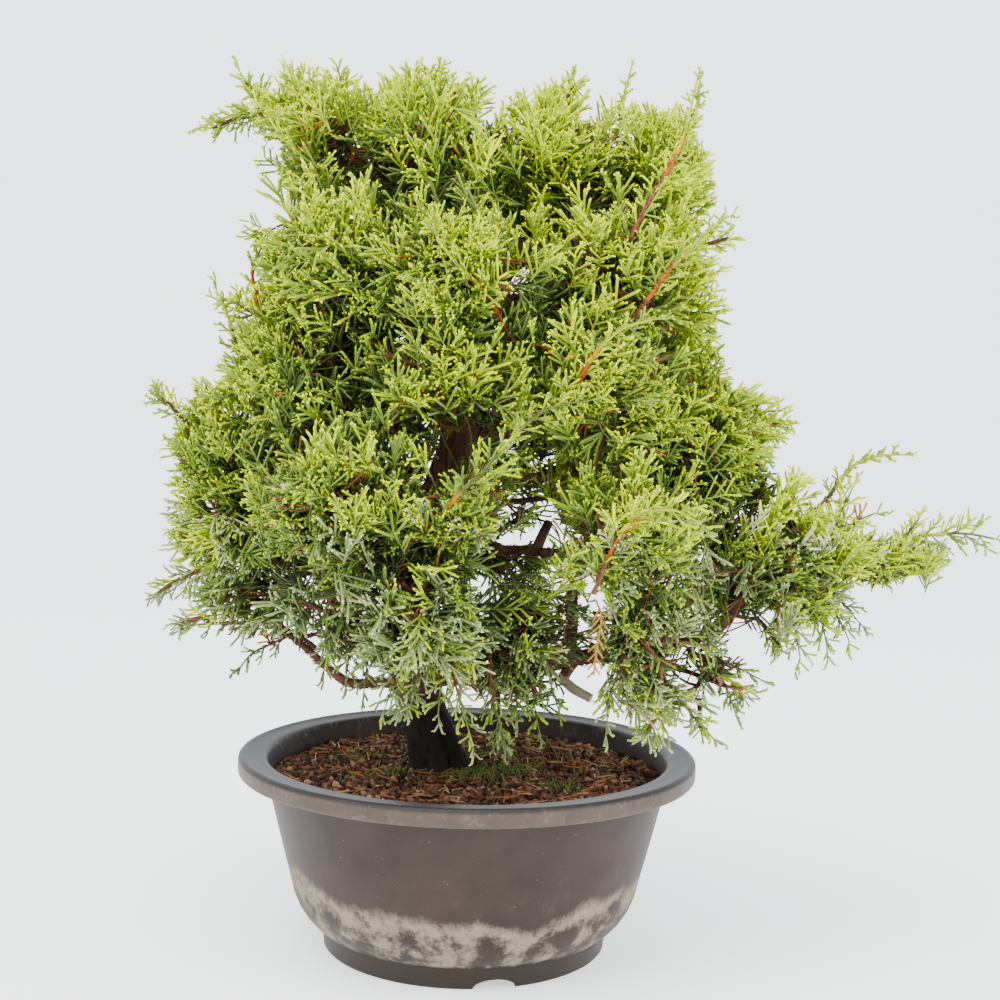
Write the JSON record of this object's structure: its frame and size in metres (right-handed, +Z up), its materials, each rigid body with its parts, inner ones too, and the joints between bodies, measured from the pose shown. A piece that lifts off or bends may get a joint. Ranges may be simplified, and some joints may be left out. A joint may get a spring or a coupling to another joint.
{
  "type": "juniper bonsai tree in pot",
  "caption": "Small informal upright juniper tree with a full, spiky evergreen crown, one long low branch to the right, in a round dark plastic pot.",
  "frame": {"origin": "on the ground, under the middle of the whole plant's bounding box", "axes": "+Z up, -Y towards the viewer of the picture, +X to that viewer's right, where the long low branch reaches"},
  "size_m": [0.3702, 0.2354, 0.3854],
  "materials": {
    "pot_plastic": "satin, with lime stains low on the bowl",
    "potting_grains": "matt, granular",
    "bark": "rough, stringy bark",
    "foliage_bright": "satin leaf surface",
    "foliage_grey": "satin leaf surface with a grey bloom"
  },
  "bodies": {
    "root": {"pot": "pot_plastic", "soil": "potting_grains", "trunk": "bark", "bough_apex_left": "bark", "bough_crown_right": "bark", "bough_shoulder_left": "bark", "bough_shoulder_right": "bark", "bough_mid_left": "bark", "bough_left_arm": "bark", "bough_left_low": "bark", "bough_front_left": "bark", "bough_bottom_left": "bark", "bough_low_left": "bark", "bough_front_bottom": "bark", "bough_front_centre": "bark", "bough_right_mid": "bark", "bough_right_low": "bark", "bough_front_right": "bark", "bough_bottom_centre": "bark", "bough_back_top_right": "bark", "bough_back_left": "bark", "bough_back_mid": "bark", "bough_back_right": "bark", "bough_back_low_left": "bark", "bough_back_low": "bark", "bough_mid_right": "bark", "bough_under_right": "bark", "bough_right_tip": "bark", "bough_bottom_right": "bark", "foliage_apex_left": "foliage_bright", "foliage_apex_mid": "foliage_bright", "foliage_apex_right": "foliage_bright", "foliage_crown_right": "foliage_bright", "foliage_shoulder_left": "foliage_bright", "foliage_shoulder_mid": "foliage_bright", "foliage_shoulder_right": "foliage_bright", "foliage_mid_left": "foliage_bright", "foliage_mid_centre": "foliage_bright", "foliage_mid_right": "foliage_bright", "foliage_left_arm": "foliage_bright", "foliage_left_low": "foliage_grey", "foliage_front_left": "foliage_bright", "foliage_bottom_left": "foliage_grey", "foliage_low_left": "foliage_grey", "foliage_front_bottom": "foliage_grey", "foliage_front_centre": "foliage_bright", "foliage_right_mid": "foliage_bright", "foliage_right_low": "foliage_bright", "foliage_under_right": "foliage_grey", "foliage_right_tip": "foliage_bright", "foliage_front_right": "foliage_bright", "foliage_bottom_right": "foliage_grey", "foliage_bottom_centre": "foliage_grey", "foliage_back_top": "foliage_bright", "foliage_back_top_right": "foliage_bright", "foliage_back_left": "foliage_bright", "foliage_back_mid": "foliage_bright", "foliage_back_right": "foliage_bright", "foliage_back_low_left": "foliage_grey", "foliage_back_low": "foliage_grey"}
  },
  "joints": []
}
